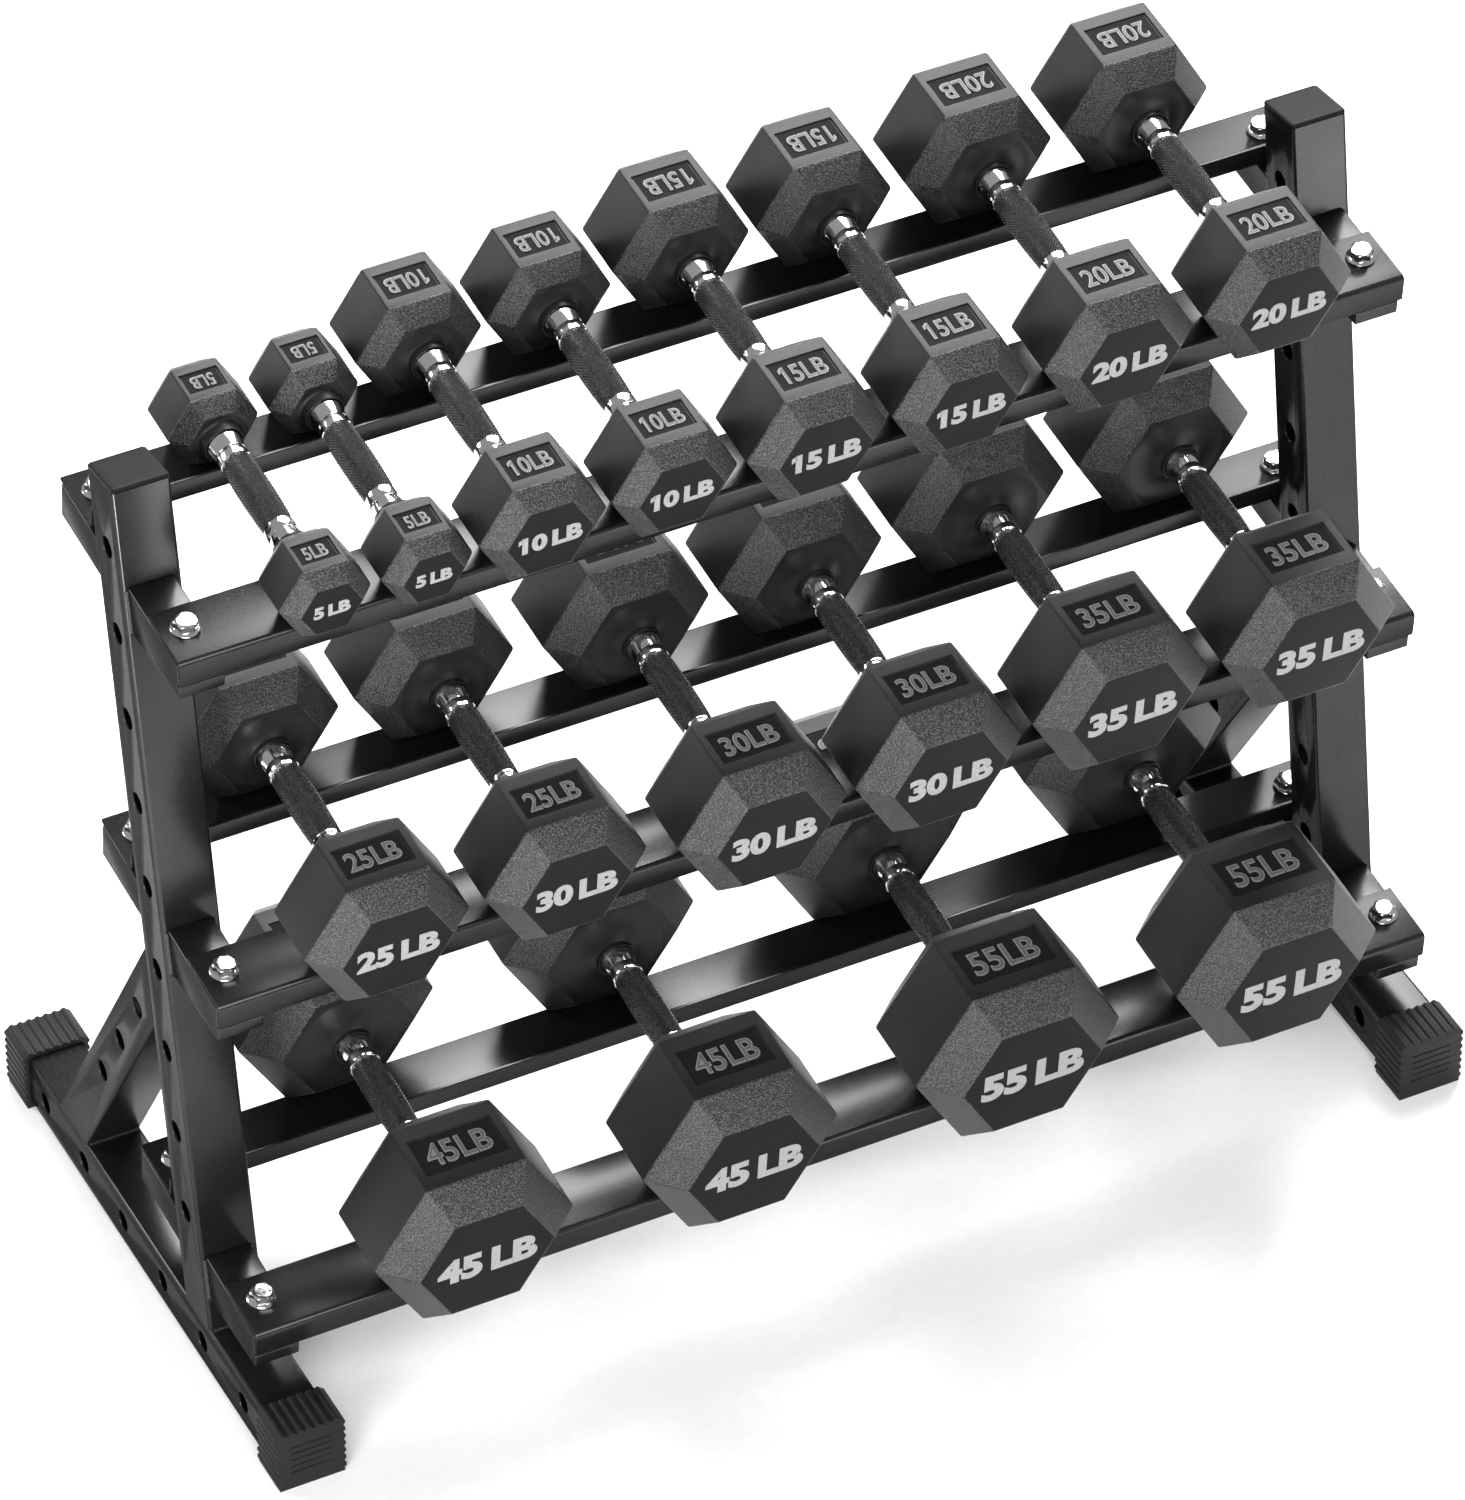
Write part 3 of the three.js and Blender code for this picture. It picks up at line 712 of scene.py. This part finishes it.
def lettering(text, width, height, depth, weight):
    """Plain numerals centred on the origin, facing +Z; a figure one gets its flag."""
    mesh = glyphs(text, weight)
    if text.startswith("1"):
        stem = glyphs("1", weight)
        left = min(v.co.x for v in stem.vertices)
        top = max(v.co.y for v in stem.vertices)
        inside, tip, drop, thick = left + 0.03, left - 0.13, top - 0.10, 0.13 + 1.6 * weight
        outline = [(inside, top), (tip, drop), (tip, drop - thick), (inside, top - thick)]
        flag = extruded(outline, X, Y, Z, -FONT_DEPTH / 2, FONT_DEPTH / 2)
        mesh = merged([(mesh, Matrix(), 0), (flag, Matrix(), 0)], "text")
    xs = [v.co.x for v in mesh.vertices]
    ys = [v.co.y for v in mesh.vertices]
    centre = Vector(((min(xs) + max(xs)) / 2, (min(ys) + max(ys)) / 2, 0))
    wide, tall = max(xs) - min(xs), max(ys) - min(ys)
    stretch = Matrix.Diagonal((width / wide, height / tall, depth / FONT_DEPTH, 1))
    mesh.transform(stretch @ Matrix.Translation(-centre))
    return mesh


def head_mesh(flats, inner, hex_near, hex_far, end):
    """The front head: a chamfered hexagon with rounded edges and a recessed panel on top."""
    side = flats / math.sqrt(3)
    flat, bevel, face_end, panel, inside = range(5)  # the materials' places
    bm = bmesh.new()
    rings = []
    for scale, along in ((HEAD_FACE, inner), (1, hex_near), (1, hex_far), (HEAD_FACE, end)):
        corner = side * scale
        ring = []
        for i in range(6):
            angle = i * math.pi / 3
            ring.append(Vector((corner * math.cos(angle), -along, corner * math.sin(angle))))
        rings.append(ring)
    loft(bm, rings)
    bmesh.ops.recalc_face_normals(bm, faces=bm.faces)
    bmesh.ops.bevel(
        bm, geom=list(bm.edges), offset=HEAD_ROUND, segments=3, profile=0.5, affect="EDGES",
    )
    bm.faces.ensure_lookup_table()
    bm.normal_update()
    length = hex_far - hex_near
    for face in bm.faces:
        outward = -face.normal.y
        if outward > 0.95:
            face.material_index = face_end
        elif outward < -0.95:
            face.material_index = inside
        elif abs(outward) > 0.15:
            face.material_index = bevel
        else:
            face.material_index = flat
    top = max((f for f in bm.faces if f.normal.z > 0.999), key=lambda f: f.calc_area())
    centre_y = -(hex_near + hex_far) / 2
    bmesh.ops.inset_individual(bm, faces=[top], thickness=0.004, use_even_offset=True)
    for vert in top.verts:
        vert.co.x = math.copysign(side * PANEL_WIDTH / 2, vert.co.x)
        vert.co.y = centre_y + math.copysign(length * PANEL_LENGTH / 2, vert.co.y - centre_y)
    bmesh.ops.inset_individual(
        bm, faces=[top], thickness=0.0008, depth=-PANEL_DEPTH, use_even_offset=True,
    )
    bmesh.ops.inset_individual(bm, faces=[top], thickness=0.0006, use_even_offset=True)
    top.material_index = panel
    materials = [FLAT_RUBBER, BEVEL_RUBBER_GLINTS, FACE_RUBBER, PANEL_RUBBER, INNER_RUBBER]
    return finish_mesh(mesh_from(bm, "head"), materials, 20)


def numeral_mesh(weight, sizes, end_mark):
    """Painted numerals on both end faces and raised outlined ones in both panels."""
    flats, _, hex_near, hex_far, end = sizes
    side = flats / math.sqrt(3)
    digits = len(weight)
    painted = flats * (0.34 + 0.12 * digits)
    face = lettering(f"{end_mark} LB", painted, flats * 0.185, 0.0006, 0.05)
    wide = side * PANEL_WIDTH * (0.42 + 0.17 * digits)
    tall = (hex_far - hex_near) * PANEL_LENGTH * 0.6
    outline = lettering(f"{weight}LB", wide, tall, 0.0016, 0.022)
    rim = 0.0022
    core = lettering(f"{weight}LB", wide - rim, tall - rim, 0.0019, -0.012)
    middle_y = -(hex_near + hex_far) / 2
    panel = Matrix.Translation((0, middle_y, flats / 2 - PANEL_DEPTH))
    on_end = Matrix.Translation((0, -end, 0)) @ Matrix.Rotation(math.pi / 2, 4, "X")
    parts = []
    for turn in (Matrix(), Matrix.Rotation(math.pi, 4, "Z")):
        parts.append((face, turn @ on_end, 0))
        parts.append((outline, turn @ panel, 1))
        parts.append((core, turn @ panel, 2))
    mesh = merged(parts, f"numerals_{weight}_{end_mark}")
    return finish_mesh(mesh, [PAINT, RIM_PAINT, CORE_PAINT], 30)


def grip_mesh(half):
    """Crowned grip with a real diamond knurl: rows of small pyramids between two helices."""
    around, rows = KNURL_GRID
    bm = bmesh.new()
    grid = []
    for j in range(rows + 1):
        along = half * (2 * j / rows - 1)
        radius = GRIP_MIDDLE - (GRIP_MIDDLE - GRIP_END) * (along / half) ** 2
        ring = []
        for i in range(around):
            angle = 2 * math.pi * i / around
            peak = (i + j) % 2 and 0 < j < rows
            size = radius if peak else radius - KNURL_RELIEF
            ring.append(bm.verts.new((size * math.cos(angle), along, size * math.sin(angle))))
        grid.append(ring)
    for j in range(rows):
        for i in range(around):
            k = (i + 1) % around
            a, b, c, d = grid[j][i], grid[j][k], grid[j + 1][k], grid[j + 1][i]
            if (i + j) % 2:
                bm.faces.new((a, b, d))
                bm.faces.new((b, c, d))
            else:
                bm.faces.new((a, b, c))
                bm.faces.new((a, c, d))
    bm.faces.new(grid[0])
    bm.faces.new(list(reversed(grid[-1])))
    mesh = mesh_from(bm, "knurled_grip")
    return finish_mesh(mesh, [KNURL], 12)


def collar_mesh(start):
    """Chrome end of the handle at the front head: collar, neck and bell."""
    profile = [(radius, -(start + along)) for radius, along in COLLAR]
    mesh = lathe(profile, 48, Y, X, Z)
    return finish_mesh(mesh, [CHROME], 40)


def boss_mesh(flats, face):
    """Rubber sleeve round the bell, which flares into the head's inner face."""
    outer = max(0.0195, flats * 0.34 * 0.92)
    rise = min(0.0050, max(0.0016, (outer - SLEEVE_RADIUS) * 0.24))
    lip = face - SLEEVE_LENGTH
    root = face + 0.001  # inside the head
    profile = [(SLEEVE_BORE, root), (SLEEVE_BORE, lip + 0.0004), (0.0143, lip), (0.0150, lip)]
    profile += [(SLEEVE_RADIUS, lip + 0.0005), (SLEEVE_RADIUS + 0.0003, face - rise)]
    steps = 12
    for i in range(1, steps + 1):
        t = i / steps
        radius = SLEEVE_RADIUS + 0.0003 + (outer - SLEEVE_RADIUS) * t
        profile.append((radius, face - rise * (1 - t) ** 3))
    profile.append((outer, root))
    mesh = lathe([(r, -along) for r, along in profile], 64, Y, X, Z, closed=True)
    return finish_mesh(mesh, [INNER_RUBBER], 50)


def head_sizes(node, place):
    """Across flats, and from the middle to the inner face, the prism's two ends and the end
    face, read from the CAD node's vertices."""
    width = extent(node, X)[1] - extent(node, X)[0]
    corners, faces = [], []
    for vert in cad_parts[node].data.vertices:
        aside = abs(vert.co.x - place.x) / width
        reach = abs(ACROSS.dot(vert.co - place))
        if aside > 0.49:
            corners.append(reach)
        elif aside > 0.32:
            faces.append(reach)
    end = (extent(node, ACROSS)[1] - extent(node, ACROSS)[0]) / 2
    return width * math.sqrt(3) / 2, min(faces), min(corners), max(corners), end


def dumbbell(node, made):
    """One dumbbell; those of one weight share their meshes, which made holds."""
    weight = str(int(node.split("_")[1]))
    place = sum(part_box(node), Vector()) / 2
    matrix = Matrix.Translation(place) @ Matrix.Rotation(TILT, 4, "X")
    if weight not in made:
        sizes = head_sizes(node, place)
        flats, inner = sizes[:2]
        half = inner - BELL_LENGTH
        made[weight] = (
            sizes, head_mesh(*sizes), numeral_mesh(weight, sizes, weight),
            boss_mesh(flats, inner), grip_mesh(half), collar_mesh(half),
        )
    sizes, head, numerals, boss, grip, collar = made[weight]
    if node in END_MARKS:
        numerals = numeral_mesh(weight, sizes, END_MARKS[node])
    half_turn = Matrix.Rotation(math.pi, 4, "Z")
    tag = node.removeprefix("dumbbell_")
    for end, turn in (("front", Matrix()), ("rear", half_turn)):
        add_piece(f"head_{end}_{tag}", head, node, [node], matrix @ turn)
        add_piece(f"collar_{end}_{tag}", collar, node, (), matrix @ turn)
        add_piece(f"boss_{end}_{tag}", boss, node, (), matrix @ turn)
    add_piece(f"grip_{tag}", grip, node, (), matrix)
    add_piece(f"numerals_{tag}", numerals, node, (), matrix)


# ---- Build ---------------------------------------------------------------------

for side in SIDES:
    base_tube(side)
    upright(side)
    rear_strut(side)
    top_cap(side)
    frame_welds(side)
    for end in ("front", "rear"):
        foot_cap(end, side)

flange_bolt = bolt_mesh()
for tier in TIERS:
    for end in ("front", "rear"):
        rail(end, tier)
        for side in SIDES:
            bolt(flange_bolt, end, tier, side)
    for side in SIDES:
        front_arm(tier, side)
        rear_arm(tier, side)

made_weights = {}
for node in sorted(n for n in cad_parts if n.startswith("dumbbell_")):
    dumbbell(node, made_weights)

# ---- Floor, light and camera -----------------------------------------------------


def studio_floor():
    """A large pale floor."""
    bm = bmesh.new()
    corners = ((-1, -1), (1, -1), (1, 1), (-1, 1))
    bm.faces.new([bm.verts.new((x * FLOOR_HALF, y * FLOOR_HALF, 0)) for x, y in corners])
    paper = grained(
        "floor_paper", shade=(0.86, 0.88), rough=(0.85, 0.95), grain=0.01, bump=(0.02, 0.0002),
        specular=0.1,
    )
    floor = bpy.data.objects.new("floor", finish_mesh(mesh_from(bm, "floor"), [paper], 60))
    bpy.context.scene.collection.objects.link(floor)


def softbox(name, place, target, size, watts):
    """A rectangular lamp that faces its target."""
    light = bpy.data.lights.new(name, "AREA")
    light.shape = "RECTANGLE"
    light.size, light.size_y = size
    light.energy = watts
    lamp = bpy.data.objects.new(name, light)
    lamp.location = place
    lamp.rotation_euler = (Vector(target) - Vector(place)).to_track_quat("-Z", "Y").to_euler()
    bpy.context.scene.collection.objects.link(lamp)


studio_floor()
softbox("key_left", (-2.7, -2.25, 0.7), (0, 0, 0.35), size=(1.2, 1.0), watts=125)
softbox("overhead", (1.15, 1.75, 3.1), (0.1, 0.1, 0.3), size=(2.6, 2.3), watts=330)
softbox("rim_left", (-2.4, 2.1, 1.5), (0, 0, 0.4), size=(1.0, 1.0), watts=45)
softbox("front_fill", (-1.5, -2.7, 2.9), (0, -0.4, 0.1), size=(2.4, 2.0), watts=110)
softbox("rim_right", (2.3, 2.2, 1.6), (0, 0, 0.4), size=(0.6, 0.9), watts=25)
softbox("front_low", (1.5, -3.0, 0.6), (0.2, 0, 0.3), size=(2.0, 0.9), watts=30)

world = bpy.data.worlds.new("studio")
bpy.context.scene.world = world
world.use_nodes = True
sky = world.node_tree.nodes["Background"]
sky.inputs["Color"].default_value = (1, 1, 1, 1)
sky.inputs["Strength"].default_value = 0.38

AZIMUTH = math.radians(-26.663)
ELEVATION = math.radians(40.660)
TARGET = Vector((0.09145, 0.19616, 0.15731))
DISTANCE = 7.5053
FOCAL_LENGTH = 232.78  # with 36 mm on the picture's long side

back = Vector((
    math.sin(AZIMUTH) * math.cos(ELEVATION),
    -math.cos(AZIMUTH) * math.cos(ELEVATION),
    math.sin(ELEVATION),
))
camera_data = bpy.data.cameras.new("camera")
camera_data.sensor_width = 36
camera_data.lens = FOCAL_LENGTH
camera = bpy.data.objects.new("camera", camera_data)
camera.location = TARGET + back * DISTANCE
camera.rotation_euler = back.to_track_quat("Z", "Y").to_euler()
camera_data.clip_end = 60
bpy.context.scene.collection.objects.link(camera)
bpy.context.scene.camera = camera
bpy.context.scene.view_settings.view_transform = "Standard"
